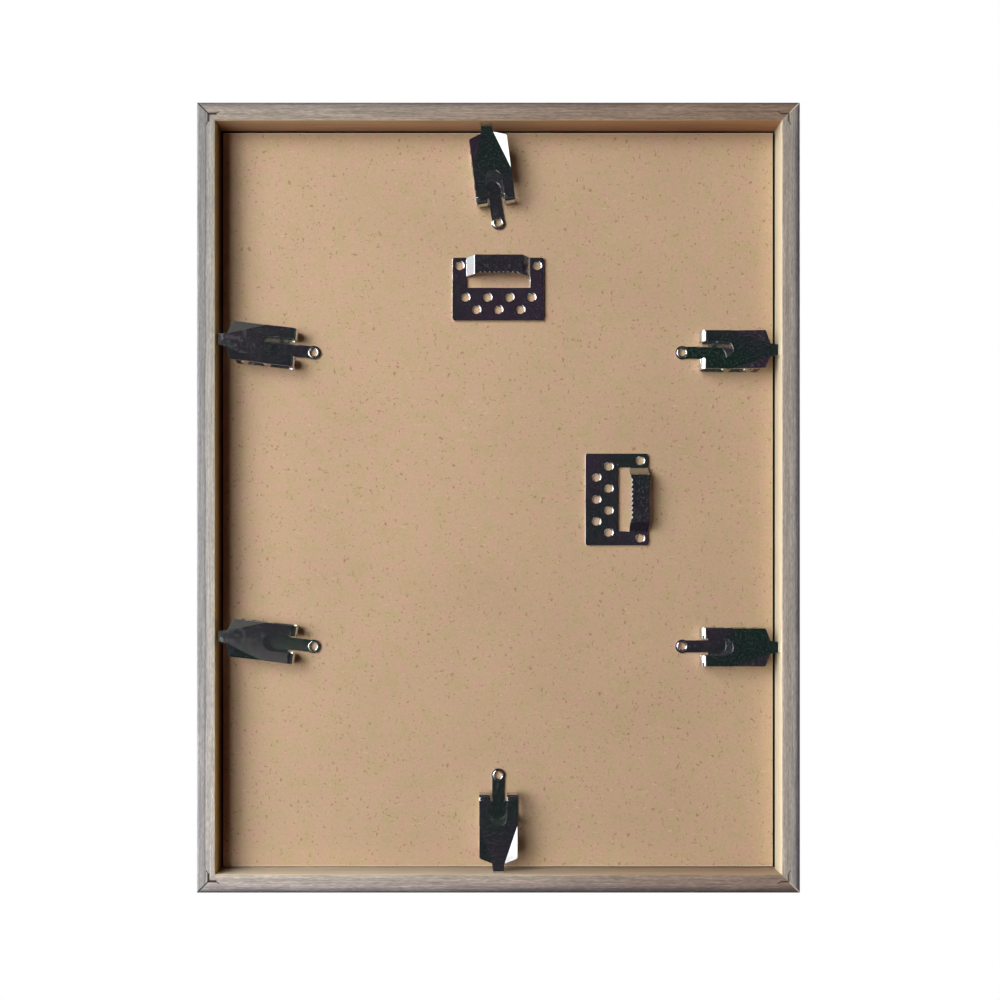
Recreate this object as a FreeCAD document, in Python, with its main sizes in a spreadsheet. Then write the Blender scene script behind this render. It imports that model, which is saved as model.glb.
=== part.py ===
"""A wooden picture frame for 30 x 40 cm pictures whose back is held by six spring clips.

The frame hangs upright. Its back, the side with the clips and hangers, faces -Y, +X is to
the right of someone who looks at that back, and +Z is up. The origin is the point of the
wall where the nail of the upright hanger comes out, so the back faces of the rails lie on
the plane y = 0 and the glass looks along +Y.
"""

import FreeCAD, Part

import math
import os
import re

import Sketcher

SIZES = [
    # the wooden frame
    ("opening_width", 302.0, "width between the inner walls of the side rails"),
    ("opening_height", 402.0, "height between the inner walls of the top and bottom rails"),
    ("rail_back_width", 10.0, "width of a rail's back face"),
    ("lip_width", 6.0, "how far the front lip covers the glass"),
    ("lip_thick", 5.0, "thickness of the front lip"),
    ("outer_back_round", 1.2, "rounding of the outer back edge"),
    ("inner_back_round", 0.5, "rounding of the inner back edge"),
    ("outer_front_round", 1.6, "rounding of the outer front edge"),
    ("sight_round", 1.0, "rounding of the front edge beside the glass"),
    # what lies in the rebate
    ("clip_cover", 2.65, "how far the tops of the clips lie below the rails' back faces"),
    ("pane_gap", 1.0, "gap between glass, picture or board and the inner walls"),
    ("glass_thick", 2.0, "thickness of the glass"),
    ("picture_thick", 0.3, "thickness of the picture sheet"),
    ("board_thick", 3.0, "thickness of the backing board"),
    # the V-shaped nails in the mitred corners
    ("nail_inset", 6.0, "distance from the outer faces to the nail's knee"),
    ("nail_leg", 4.4, "straight length of each leg"),
    ("nail_curl", 1.7, "length of the curled tip along the leg"),
    ("nail_lift", 1.1, "how far the tip curls outwards"),
    ("nail_steel", 0.5, "thickness of the strip"),
    ("nail_deep", 10.0, "how deep the strip stands in the wood"),
    ("nail_sink", 0.2, "how far it is driven below the back face"),
    # the two sawtooth hangers
    ("plate_width", 50.0, "width of the hanger plate"),
    ("plate_height", 34.3, "height of the hanger plate"),
    ("plate_steel", 1.0, "thickness of the steel"),
    ("plate_round", 1.4, "rounding of the plate's corners"),
    ("plate_inset", 96.5, "distance from the frame's outer face to the middle of the plate"),
    ("arch_foot_width", 34.7, "width of the slot, and between the feet of the arch"),
    ("arch_slope", 4.5, "run of each slope of the arch"),
    ("arch_rise", 4.0, "how far the arch stands off the plate"),
    ("arch_height", 10.4, "height of the arched strip, from the plate's top edge"),
    ("slot_height", 6.0, "height of the slot below the arch"),
    ("tooth_pitch", 2.5, "distance from notch to notch"),
    ("tooth_deep", 1.2, "depth of a notch"),
    ("tooth_count", 9.0, "number of notches"),
    ("collar_bore", 2.0, "radius of a hole at its throat"),
    ("collar_wall", 0.6, "wall of the collar that is pressed into the board"),
    ("collar_deep", 1.8, "depth of the collar in the board"),
    ("collar_round", 0.9, "rounding of the hole's mouth"),
    ("collar_slack", 0.02, "room round the collar in its groove"),
    ("ear_spacing", 42.2, "distance between the two upper holes"),
    ("ear_drop", 4.4, "distance from the plate's top edge to the upper holes"),
    ("row_pitch", 12.0, "distance from hole to hole along a row"),
    ("row_drop", 21.6, "distance from the plate's top edge to the first row"),
    ("row_spacing", 6.7, "distance between the two rows"),
    # the six spring clips
    ("clip_width", 20.6, "width of the clip"),
    ("clip_high", 7.0, "height from the lower leaf's underside to the plate's top"),
    ("clip_steel", 0.6, "thickness of the spring steel"),
    ("clip_top_reach", 37.3, "from the back of the bend to the root of the nose"),
    ("clip_leaf_reach", 35.0, "from the back of the bend to the front of the lower leaf"),
    ("nose_reach", 5.9, "length of the nose"),
    ("nose_width", 6.8, "width of the nose at its root"),
    ("nose_tip_width", 5.2, "width of the nose at its tip"),
    ("nose_bite", 1.0, "how far the nose stands in the rail"),
    ("window_width", 9.2, "width of the window in the plate"),
    ("window_reach", 17.2, "from the back of the bend to the end of the window"),
    ("relief_reach", 5.5, "from the back of the bend to where the tongue leaves the leaf"),
    ("tongue_width", 6.6, "width of the pull tongue"),
    ("eye_beyond", 8.6, "from the back of the bend out to the middle of the eye"),
    ("eye_round", 3.7, "radius of the tongue's round end"),
    ("eye_hole", 1.85, "radius of the hole in the eye"),
    ("eye_ring", 2.45, "radius of the rolled rim round the hole"),
    ("eye_roll", 0.5, "half the thickness of the rolled rim"),
    ("crease_start", 17.0, "from the back of the bend to where the side creases start"),
    ("crease_bend", 13.0, "how far the front corners are bent up, in degrees"),
    ("shoulder_reach", 33.8, "from the back of the bend to the front of the straight side"),
    ("shoulder_cut", 0.7, "size of the broken corner at the shoulder"),
    ("lug_start", 12.6, "from the back of the bend to the first side lug"),
    ("lug_pitch", 12.1, "distance from lug to lug"),
    ("lug_length", 2.4, "length of a lug's straight part"),
    ("lug_turn", 1.5, "length of its inturned end"),
    ("lug_high", 5.4, "height of a lug's top above the leaf's underside"),
    ("leaf_round", 3.0, "broken corner of the lower leaf"),
    ("sliding_gap", 0.05, "running gap between a clip and the board"),
    ("slit_slack", 0.15, "room above and below the nose in its slit"),
    ("slit_side_room", 0.6, "room beside the nose in its slit"),
    ("slit_end_room", 0.9, "room past the nose's tip in its slit"),
    # where the clips sit
    ("clip_side_place", 80.0, "height of a side clip above or below the frame's middle"),
    ("tilt_left_upper", 6.3, "how far the upper left clip is turned from square, in degrees"),
    ("tilt_left_lower", 7.0, "how far the lower left clip is turned"),
    ("tilt_right_upper", 0.5, "how far the upper right clip is turned"),
    ("tilt_right_lower", 0.0, "how far the lower right clip is turned"),
    ("tilt_top", 7.6, "how far the top clip is turned"),
    ("tilt_bottom", 0.0, "how far the bottom clip is turned"),
    ("overrun", 2.0, "how far every cut runs past the solid"),
]

OUTER_X = "(opening_width / 2 + rail_back_width)"
OUTER_Z = "(opening_height / 2 + rail_back_width)"
SIGHT_X = "(opening_width / 2 - lip_width)"
SIGHT_Z = "(opening_height / 2 - lip_width)"
PANE_X = "(opening_width / 2 - pane_gap)"
PANE_Z = "(opening_height / 2 - pane_gap)"

# depths behind the wall plane: the rails are as deep as what lies in their rebate asks for
BOARD_TOP = "(clip_cover + clip_high + sliding_gap)"
PICTURE_TOP = "(clip_cover + clip_high + sliding_gap + board_thick)"
GLASS_TOP = "(clip_cover + clip_high + sliding_gap + board_thick + picture_thick)"
LIP_TOP = "(%s + glass_thick)" % GLASS_TOP
FRAME_DEPTH = "(%s + lip_thick)" % LIP_TOP

# the hanger's edges, from the middle of its plate
SLOT_TOP = "(plate_height / 2 - arch_height)"
SLOT_BOTTOM = "(plate_height / 2 - arch_height - slot_height)"
# from the frame's middle up to the top of the middle notch
NAIL_ABOVE_MIDDLE = "(%s - plate_inset + %s + tooth_deep)" % (OUTER_Z, SLOT_TOP)

# lengths along a clip, from the middle of its eye to the nose
BEND_MIDDLE = "(eye_beyond + clip_high / 2)"
NOSE_ROOT = "(eye_beyond + clip_top_reach)"
NOSE_TIP = "(eye_beyond + clip_top_reach + nose_reach)"
LEAF_FRONT = "(eye_beyond + clip_leaf_reach)"
CREASE_FROM = "(eye_beyond + crease_start)"
CREASE_TURN = "atan((clip_width - nose_width) / 2 / (clip_top_reach - crease_start))"

CORNERS = {
    "top_left": (-1, 1),
    "top_right": (1, 1),
    "bottom_left": (-1, -1),
    "bottom_right": (1, -1),
}

RAILS = {
    "rail_top": ("top_left", "top_right"),
    "rail_bottom": ("bottom_left", "bottom_right"),
    "rail_left": ("bottom_left", "top_left"),
    "rail_right": ("bottom_right", "top_right"),
}

# each clip: the rail it holds to, the outward direction, its place along the rail, its tilt
CLIPS = {
    "clip_top": ("rail_top", (0, 1), "0", "tilt_top"),
    "clip_bottom": ("rail_bottom", (0, -1), "0", "tilt_bottom"),
    "clip_left_upper": ("rail_left", (-1, 0), "clip_side_place", "tilt_left_upper"),
    "clip_left_lower": ("rail_left", (-1, 0), "-clip_side_place", "tilt_left_lower"),
    "clip_right_upper": ("rail_right", (1, 0), "clip_side_place", "tilt_right_upper"),
    "clip_right_lower": ("rail_right", (1, 0), "-clip_side_place", "tilt_right_lower"),
}

# turn about +Y that brings a clip's nose from +X to its rail, before the tilt
SIDE_TURN = {(1, 0): 0, (0, -1): 90, (-1, 0): 180, (0, 1): 270}
# the top clip leans the other way
TILT_SENSE = {(1, 0): 1, (0, -1): 1, (-1, 0): 1, (0, 1): -1}


document = FreeCAD.newDocument("ClipFrame")


def make_sheet():
    """Writes the driving sizes into a sheet, one row each with its name and meaning."""
    sheet = document.addObject("Spreadsheet::Sheet", "Sizes")
    for row, (name, value, meaning) in enumerate(SIZES, start=1):
        sheet.set("A%d" % row, name.replace("_", " "))
        sheet.set("B%d" % row, str(value))
        sheet.setAlias("B%d" % row, name)
        sheet.set("C%d" % row, meaning)
    document.recompute()
    return sheet


sheet = make_sheet()
parts = []


def in_sheet(words):
    """Turns each size's name in an expression into its reference to the sheet."""
    return re.sub(r"\b([a-z]+(?:_[a-z]+)+|overrun)\b", r"Sizes.\1", words)


def size_of(words):
    """The present value of an expression."""
    found = sheet.evalExpression(in_sheet(words))
    return float(getattr(found, "Value", found))


def tie(thing, path, words):
    thing.setExpression(path, in_sheet(words))


def signed(sign, words):
    """The expression, negated where the sign is below zero."""
    return words if sign > 0 else "-" + words


def new_body(name):
    """An empty body. Its place moves the frame's middle down from the nail of the hanger."""
    body = document.addObject("PartDesign::Body", name)
    body.Label = name
    tie(body, "Placement.Base.z", "-" + NAIL_ABOVE_MIDDLE)
    parts.append(body)
    return body


def plane_of(body, role):
    return [feature for feature in body.Origin.OriginFeatures if feature.Role == role][0]


def new_sketch(body, name, height="0", role="XZ_Plane"):
    """A sketch seen from the back. Height lifts it off the plane, towards the wall."""
    sketch = body.newObject("Sketcher::SketchObject", name)
    sketch.AttachmentSupport = [(plane_of(body, role), "")]
    sketch.MapMode = "FlatFace"
    if height != "0":
        tie(sketch, "AttachmentOffset.Base.z", height)
    return sketch


def draw_outline(sketch, corners):
    """Draws a closed outline whose corners are tied to the sheet.

    A corner is (x, z), or (x, z, centre x, centre z, turn) where an arc ends there; the turn
    is 1 for an arc that runs against the clock and -1 for one that runs with it.
    """
    spots = [FreeCAD.Vector(size_of(corner[0]), size_of(corner[1]), 0) for corner in corners]
    first = len(sketch.Geometry)
    ends = []
    for number, corner in enumerate(corners):
        start = spots[number - 1]
        end = spots[number]
        if len(corner) == 2:
            sketch.addGeometry(Part.LineSegment(start, end), False)
            ends.append((1, 2))
            continue
        centre = FreeCAD.Vector(size_of(corner[2]), size_of(corner[3]), 0)
        circle = Part.Circle(centre, FreeCAD.Vector(0, 0, 1), (end - centre).Length)
        angles = [math.atan2(spot.y - centre.y, spot.x - centre.x) for spot in (start, end)]
        if corner[4] < 0:
            angles.reverse()
        if angles[1] < angles[0]:
            angles[1] += 2 * math.pi
        sketch.addGeometry(Part.ArcOfCircle(circle, angles[0], angles[1]), False)
        ends.append((1, 2) if corner[4] > 0 else (2, 1))
    for number, corner in enumerate(corners):
        edge = first + number
        following = (number + 1) % len(corners)
        sketch.addConstraint(
            Sketcher.Constraint("Coincident", edge, ends[number][1], first + following, ends[following][0])
        )
        hold_point(sketch, edge, ends[number][1], corner[0], corner[1])
        if len(corner) > 2:
            chord = spots[number] - spots[number - 1]
            if abs(chord.x) < abs(chord.y):
                hold(sketch, "DistanceX", edge, 3, corner[2])
            else:
                hold(sketch, "DistanceY", edge, 3, corner[3])


def hold(sketch, kind, edge, point, words):
    """Ties one coordinate of a point to the sheet."""
    constraint = Sketcher.Constraint(kind, -1, 1, edge, point, size_of(words))
    number = sketch.addConstraint(constraint)
    tie(sketch, "Constraints[%d]" % number, words)


def hold_point(sketch, edge, point, x_words, z_words):
    hold(sketch, "DistanceX", edge, point, x_words)
    hold(sketch, "DistanceY", edge, point, z_words)


def draw_circle(sketch, x_words, z_words, radius_words):
    centre = FreeCAD.Vector(size_of(x_words), size_of(z_words), 0)
    radius = size_of(radius_words)
    edge = sketch.addGeometry(Part.Circle(centre, FreeCAD.Vector(0, 0, 1), radius), False)
    hold_point(sketch, edge, 3, x_words, z_words)
    number = sketch.addConstraint(Sketcher.Constraint("Radius", edge, radius))
    tie(sketch, "Constraints[%d]" % number, radius_words)


def rectangle(low_x, low_z, high_x, high_z):
    return [(low_x, low_z), (high_x, low_z), (high_x, high_z), (low_x, high_z)]


def pad(body, sketch, name, length, into_room=False, both_ways=False):
    """Raises a sketch towards the wall, or into the room, or half each way."""
    feature = body.newObject("PartDesign::Pad", name)
    feature.Profile = sketch
    tie(feature, "Length", length)
    feature.Reversed = into_room
    if both_ways:
        feature.SideType = "Symmetric"
    sketch.Visibility = False
    document.recompute()
    return feature


def pocket(body, sketch, name, length, to_wall=False):
    """Cuts a sketch into the room's side, or towards the wall, and makes sure that it cut."""
    before = body.Shape.Volume
    feature = body.newObject("PartDesign::Pocket", name)
    feature.Profile = sketch
    tie(feature, "Length", length)
    feature.Reversed = to_wall
    sketch.Visibility = False
    document.recompute()
    if feature.Shape.Volume >= before:
        raise ValueError("%s in %s cuts nothing" % (name, body.Label))
    return feature


def round_edges(body, name, radius, chosen):
    """Rounds the edges of the body's tip that the test chooses."""
    base = body.Tip
    names = ["Edge%d" % number for number, edge in enumerate(base.Shape.Edges, start=1) if chosen(edge)]
    feature = body.newObject("PartDesign::Fillet", name)
    feature.Base = (base, names)
    tie(feature, "Radius", radius)
    document.recompute()
    return feature


def near(value, words):
    return abs(value - size_of(words)) < size_of("pane_gap") / 10


def lies_along(edge, direction):
    """True for a straight edge along a unit direction."""
    if not isinstance(edge.Curve, Part.Line):
        return False
    return abs(edge.tangentAt(edge.FirstParameter).dot(direction)) > 0.999


def nail_outline(corner):
    """The plan of a V-shaped nail: a bent strip with a leg in each of the corner's rails."""
    sign_x, sign_z = CORNERS[corner]

    def spot(from_side, from_end):
        x_words = signed(sign_x, "(%s - %s)" % (OUTER_X, from_side))
        z_words = signed(sign_z, "(%s - %s)" % (OUTER_Z, from_end))
        return x_words, z_words

    knee = "nail_inset"
    knee_inside = "(nail_inset + nail_steel)"
    leg_end = "(nail_inset + nail_leg)"
    tip = "(nail_inset + nail_leg + nail_curl)"
    tip_inside = "(nail_inset + nail_leg + nail_curl + nail_steel / 2)"
    tip_side = "(nail_inset - nail_lift)"
    tip_side_inside = "(nail_inset - nail_lift + nail_steel)"
    return [
        spot(knee, knee),
        spot(leg_end, knee),
        spot(tip, tip_side),
        spot(tip_inside, tip_side_inside),
        spot(leg_end, knee_inside),
        spot(knee_inside, knee_inside),
        spot(knee_inside, leg_end),
        spot(tip_side_inside, tip_inside),
        spot(tip_side, tip),
        spot(knee, leg_end),
    ]


def clip_rise(name):
    """How far the nose of a tilted clip stands from its eye's line, along the rail."""
    return "%s * sin(%s)" % (NOSE_TIP, CLIPS[name][3])


def slit_outline(name):
    """The plan of the slit that a clip's nose stands in."""
    outward = CLIPS[name][1]
    place = CLIPS[name][2]
    shift = {(1, 0): -1, (0, -1): -1, (-1, 0): 1, (0, 1): -1}[outward]
    middle = "(%s + %s)" % (place, signed(shift, "(%s)" % clip_rise(name)))
    half_slit = "(nose_tip_width / 2 + slit_side_room)"
    low = "(%s - %s)" % (middle, half_slit)
    high = "(%s + %s)" % (middle, half_slit)
    deep = "(nose_bite + slit_end_room)"
    if outward[0]:
        wall = signed(outward[0], "(opening_width / 2 - overrun)")
        root = signed(outward[0], "(opening_width / 2 + %s)" % deep)
        return rectangle(wall, low, root, high)
    wall = signed(outward[1], "(opening_height / 2 - overrun)")
    root = signed(outward[1], "(opening_height / 2 + %s)" % deep)
    return rectangle(low, wall, high, root)


def make_rail(name):
    """A mitred rail with a rebate behind its front lip, nail slots and slits for the clips."""
    ends = [CORNERS[corner] for corner in RAILS[name]]
    body = new_body(name)

    plan = new_sketch(body, name + "_plan")
    outer = [(signed(x, OUTER_X), signed(z, OUTER_Z)) for x, z in ends]
    sight = [(signed(x, SIGHT_X), signed(z, SIGHT_Z)) for x, z in reversed(ends)]
    draw_outline(plan, outer + sight)
    pad(body, plan, name + "_stick", FRAME_DEPTH, into_room=True)

    rebate = new_sketch(body, name + "_rebate_plan")
    half_x = "opening_width / 2"
    half_z = "opening_height / 2"
    draw_outline(rebate, rectangle("-" + half_x, "-" + half_z, half_x, half_z))
    pocket(body, rebate, name + "_rebate", LIP_TOP)

    flat = ends[0][1] == ends[1][1]
    along = FreeCAD.Vector(1, 0, 0) if flat else FreeCAD.Vector(0, 0, 1)
    outer_face = OUTER_Z if flat else OUTER_X
    inner_wall = half_z if flat else half_x
    sight_face = SIGHT_Z if flat else SIGHT_X

    def long_edge(side, depth):
        """A test for the edge along the rail at a distance from the middle and a depth."""

        def chosen(edge):
            middle = edge.CenterOfMass
            across = abs(middle.z) if flat else abs(middle.x)
            return lies_along(edge, along) and near(across, side) and near(middle.y, depth)

        return chosen

    round_edges(body, name + "_outer_back", "outer_back_round", long_edge(outer_face, "0"))
    round_edges(body, name + "_inner_back", "inner_back_round", long_edge(inner_wall, "0"))
    round_edges(body, name + "_outer_front", "outer_front_round", long_edge(outer_face, FRAME_DEPTH))
    round_edges(body, name + "_sight", "sight_round", long_edge(sight_face, FRAME_DEPTH))

    for corner in RAILS[name]:
        slot = new_sketch(body, "%s_%s_nail_plan" % (name, corner))
        draw_outline(slot, nail_outline(corner))
        pocket(body, slot, "%s_%s_nail_slot" % (name, corner), "nail_sink + nail_deep")

    for clip in CLIPS:
        if CLIPS[clip][0] != name:
            continue
        slit = new_sketch(body, clip + "_slit_plan", height="-(clip_cover - slit_slack)")
        draw_outline(slit, slit_outline(clip))
        pocket(body, slit, clip + "_slit", "clip_steel + 2 * slit_slack")
    return body


def make_nail(corner):
    """A V-shaped nail, driven a little below the back faces of its two rails."""
    body = new_body("corner_nail_" + corner)
    plan = new_sketch(body, corner + "_nail_plan", height="-nail_sink")
    draw_outline(plan, nail_outline(corner))
    pad(body, plan, corner + "_nail_strip", "nail_deep", into_room=True)


def make_pane(name, back, thickness):
    """A flat sheet that fills the rebate but for the gap round it."""
    body = new_body(name)
    plan = new_sketch(body, name + "_plan", height="-" + back)
    draw_outline(plan, rectangle("-" + PANE_X, "-" + PANE_Z, PANE_X, PANE_Z))
    pad(body, plan, name + "_sheet", thickness, into_room=True)
    return body


def collar_spots():
    """The middles of a hanger's holes, from the middle of its plate: two ears and two rows."""
    ear_height = "(plate_height / 2 - ear_drop)"
    ears = [("%s * ear_spacing / 2" % side, ear_height) for side in ("-1", "1")]
    first_height = "(plate_height / 2 - row_drop)"
    first_row = [("%s * row_pitch" % step, first_height) for step in ("-1.5", "-0.5", "0.5", "1.5")]
    second_height = "(plate_height / 2 - row_drop - row_spacing)"
    second_row = [("%s * row_pitch" % step, second_height) for step in ("-1", "0", "1")]
    return ears + first_row + second_row


HANGERS = {
    "hanger_upright": ("0", "(%s - plate_inset)" % OUTER_Z, 0),
    "hanger_sideways": ("(%s - plate_inset)" % OUTER_X, "0", 90),
}


def board_spots(name):
    """The middles of a hanger's holes on the board."""
    middle_x, middle_z, turn = HANGERS[name]
    for x_words, z_words in collar_spots():
        if turn:
            yield "%s + %s" % (middle_x, z_words), "%s - (%s)" % (middle_z, x_words)
        else:
            yield "%s + %s" % (middle_x, x_words), "%s + %s" % (middle_z, z_words)


def make_board():
    """The backing board, with a ring groove where each collar of a hanger is pressed in."""
    body = make_pane("backing_board", BOARD_TOP, "board_thick")
    for name in HANGERS:
        rings = new_sketch(body, name + "_ring_plan", height="-" + BOARD_TOP)
        for x_words, z_words in board_spots(name):
            draw_circle(rings, x_words, z_words, "collar_bore + collar_wall + collar_slack")
            draw_circle(rings, x_words, z_words, "collar_bore - collar_slack")
        pocket(body, rings, name + "_rings", "collar_deep + collar_slack")


def make_hanger(name):
    """A punched steel plate with an arched, toothed strip that hooks over a nail."""
    middle_x, middle_z, turn = HANGERS[name]
    body = new_body(name)
    tie(body, "Placement.Base.x", middle_x)
    tie(body, "Placement.Base.y", BOARD_TOP)
    tie(body, "Placement.Base.z", "%s - %s" % (middle_z, NAIL_ABOVE_MIDDLE))
    body.Placement.Rotation = FreeCAD.Rotation(FreeCAD.Vector(0, 1, 0), turn)

    half_width = "plate_width / 2"
    half_height = "plate_height / 2"
    half_foot = "arch_foot_width / 2"
    plan = new_sketch(body, name + "_plan")
    plate = [
        ("-" + half_width, "-" + half_height),
        (half_width, "-" + half_height),
        (half_width, half_height),
        (half_foot, half_height),
        (half_foot, SLOT_BOTTOM),
        ("-" + half_foot, SLOT_BOTTOM),
        ("-" + half_foot, half_height),
        ("-" + half_width, half_height),
    ]
    draw_outline(plan, plate)
    pad(body, plan, name + "_plate", "plate_steel")

    def plate_corner(edge):
        middle = edge.CenterOfMass
        at_corner = near(abs(middle.x), half_width) and near(abs(middle.z), half_height)
        return lies_along(edge, FreeCAD.Vector(0, 1, 0)) and at_corner

    round_edges(body, name + "_corners", "plate_round", plate_corner)

    strip = new_sketch(body, name + "_arch_profile", height=SLOT_TOP, role="XY_Plane")
    half_flat = "(arch_foot_width / 2 - arch_slope)"
    # the mitre of each bend moves the inner corner along the strip
    mitre = "plate_steel * tan(atan(arch_rise / arch_slope) / 2)"
    arch = [
        ("-" + half_foot, "0"),
        ("-(%s - %s)" % (half_foot, mitre), "0"),
        ("-(%s - %s)" % (half_flat, mitre), "-arch_rise"),
        ("%s - %s" % (half_flat, mitre), "-arch_rise"),
        ("%s - %s" % (half_foot, mitre), "0"),
        (half_foot, "0"),
        (half_foot, "-plate_steel"),
        (half_flat, "-(arch_rise + plate_steel)"),
        ("-" + half_flat, "-(arch_rise + plate_steel)"),
        ("-" + half_foot, "-plate_steel"),
    ]
    draw_outline(strip, arch)
    pad(body, strip, name + "_arch", "arch_height")

    notch_plan = new_sketch(body, name + "_notch_plan", height="arch_rise - plate_steel / 2")
    first_notch = "-(tooth_count - 1) / 2 * tooth_pitch"
    notch = [
        ("%s - tooth_pitch / 2" % first_notch, SLOT_TOP),
        ("%s + tooth_pitch / 2" % first_notch, SLOT_TOP),
        (first_notch, "%s + tooth_deep" % SLOT_TOP),
    ]
    draw_outline(notch_plan, notch)
    first = pocket(body, notch_plan, name + "_notch", "plate_steel * 2 + overrun", to_wall=True)
    row = body.newObject("PartDesign::LinearPattern", name + "_notches")
    row.Originals = [first]
    row.Direction = (notch_plan, ["H_Axis"])
    tie(row, "Length", "(tooth_count - 1) * tooth_pitch")
    tie(row, "Occurrences", "tooth_count")
    body.Tip = row
    document.recompute()

    collars = new_sketch(body, name + "_collar_plan")
    for x_words, z_words in collar_spots():
        draw_circle(collars, x_words, z_words, "collar_bore + collar_wall")
    pad(body, collars, name + "_collars", "collar_deep", into_room=True)

    holes = new_sketch(body, name + "_hole_plan", height="plate_steel")
    for x_words, z_words in collar_spots():
        draw_circle(holes, x_words, z_words, "collar_bore")
    pocket(body, holes, name + "_holes", "plate_steel + collar_deep + overrun")

    def hole_mouth(edge):
        if not isinstance(edge.Curve, Part.Circle):
            return False
        return near(edge.Curve.Radius, "collar_bore") and near(edge.CenterOfMass.y, "-plate_steel")

    round_edges(body, name + "_mouths", "collar_round", hole_mouth)


def make_clip(name):
    """A spring clip bent from one strip: a lower leaf on the board and a plate over it.

    Its own middle is the eye of the pull tongue, and its nose points along its own +X.
    """
    outward, place, tilt = CLIPS[name][1:]
    body = new_body(name)
    from_wall = "(%s * cos(%s) - nose_bite)" % (NOSE_TIP, tilt)
    if outward[0]:
        tie(body, "Placement.Base.x", signed(outward[0], "(opening_width / 2 - %s)" % from_wall))
        tie(body, "Placement.Base.z", "%s - %s" % (place, NAIL_ABOVE_MIDDLE))
    else:
        height = signed(outward[1], "(opening_height / 2 - %s)" % from_wall)
        tie(body, "Placement.Base.z", "%s - %s" % (height, NAIL_ABOVE_MIDDLE))
    tie(body, "Placement.Base.y", "%s - sliding_gap" % BOARD_TOP)
    body.Placement.Rotation = FreeCAD.Rotation(FreeCAD.Vector(0, 1, 0), 1)
    turn = "%d + %d * %s" % (SIDE_TURN[outward], TILT_SENSE[outward], tilt)
    tie(body, "Placement.Rotation.Angle", turn)

    half_width = "clip_width / 2"
    profile = new_sketch(body, name + "_profile", role="XY_Plane")
    middle_high = "-clip_high / 2"
    side = [
        (LEAF_FRONT, "0"),
        (BEND_MIDDLE, "0"),
        (BEND_MIDDLE, "-clip_high", BEND_MIDDLE, middle_high, 1),
        (NOSE_TIP, "-clip_high"),
        (NOSE_TIP, "-(clip_high - clip_steel)"),
        (BEND_MIDDLE, "-(clip_high - clip_steel)"),
        (BEND_MIDDLE, "-clip_steel", BEND_MIDDLE, middle_high, -1),
        (LEAF_FRONT, "-clip_steel"),
    ]
    draw_outline(profile, side)
    pad(body, profile, name + "_strip", "clip_width", both_ways=True)

    # the window that the tongue was cut from, and the relief beside the tongue's root
    half_window = "window_width / 2"
    window_end = "(eye_beyond + window_reach - window_width / 2)"
    window_plan = new_sketch(body, name + "_window_plan", height="clip_high / 2")
    window = [
        ("-overrun", "-" + half_window),
        (window_end, "-" + half_window),
        (window_end, half_window, window_end, "0", 1),
        ("-overrun", half_window),
    ]
    draw_outline(window_plan, window)
    pocket(body, window_plan, name + "_window", "clip_high / 2 + overrun", to_wall=True)

    relief_plan = new_sketch(body, name + "_relief_plan", height="clip_high / 2")
    relief_end = "(eye_beyond + relief_reach)"
    draw_outline(relief_plan, rectangle("-overrun", "-" + half_window, relief_end, half_window))
    pocket(body, relief_plan, name + "_relief", "clip_high / 2 + overrun")

    tongue_plan = new_sketch(body, name + "_tongue_plan")
    half_tongue = "tongue_width / 2"
    # the straight sides meet the round end where its half width is the tongue's
    eye_side = "sqrt(eye_round ^ 2 - (tongue_width / 2) ^ 2)"
    tongue = [
        (eye_side, half_tongue),
        (eye_side, "-" + half_tongue, "0", "0", 1),
        (relief_end, "-" + half_tongue),
        (relief_end, half_tongue),
    ]
    draw_outline(tongue_plan, tongue)
    pad(body, tongue_plan, name + "_tongue", "clip_steel")

    rim = body.newObject("PartDesign::AdditiveTorus", name + "_rim")
    rim.AttachmentSupport = [(plane_of(body, "XZ_Plane"), "")]
    rim.MapMode = "FlatFace"
    tie(rim, "AttachmentOffset.Base.z", "clip_steel")
    tie(rim, "Radius1", "eye_ring")
    tie(rim, "Radius2", "eye_roll")
    document.recompute()

    eye_plan = new_sketch(body, name + "_eye_plan", height="clip_steel + eye_roll")
    draw_circle(eye_plan, "0", "0", "eye_hole")
    pocket(body, eye_plan, name + "_eye", "clip_steel + eye_roll + overrun")

    # the front: beside the nose the plate is cut back to its creases, and the corners are bent up
    trim_plan = new_sketch(body, name + "_trim_plan", height="clip_high / 2")
    past_tip = "(%s + overrun)" % NOSE_TIP
    past_side = "(clip_width / 2 + overrun)"
    trim = [
        (CREASE_FROM, half_width),
        (NOSE_ROOT, "nose_width / 2"),
        (NOSE_TIP, "nose_tip_width / 2"),
        (past_tip, "nose_tip_width / 2"),
        (past_tip, past_side),
        (CREASE_FROM, past_side),
    ]
    draw_outline(trim_plan, trim)
    trimmed = pocket(body, trim_plan, name + "_trim", "clip_high / 2 + overrun", to_wall=True)

    corner_plan = new_sketch(body, name + "_corner_plan")
    tie(corner_plan, "AttachmentOffset.Base.x", CREASE_FROM)
    tie(corner_plan, "AttachmentOffset.Base.y", half_width)
    tie(corner_plan, "AttachmentOffset.Base.z", "clip_high - clip_steel")
    tie(corner_plan, "AttachmentOffset.Rotation.Yaw", "-%s" % CREASE_TURN)
    tie(corner_plan, "AttachmentOffset.Rotation.Roll", "crease_bend")
    crease_length = "sqrt((clip_top_reach - crease_start) ^ 2 + ((clip_width - nose_width) / 2) ^ 2)"
    first_side = "(shoulder_reach - crease_start)"
    second_side = "(shoulder_reach + shoulder_cut - crease_start)"

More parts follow.
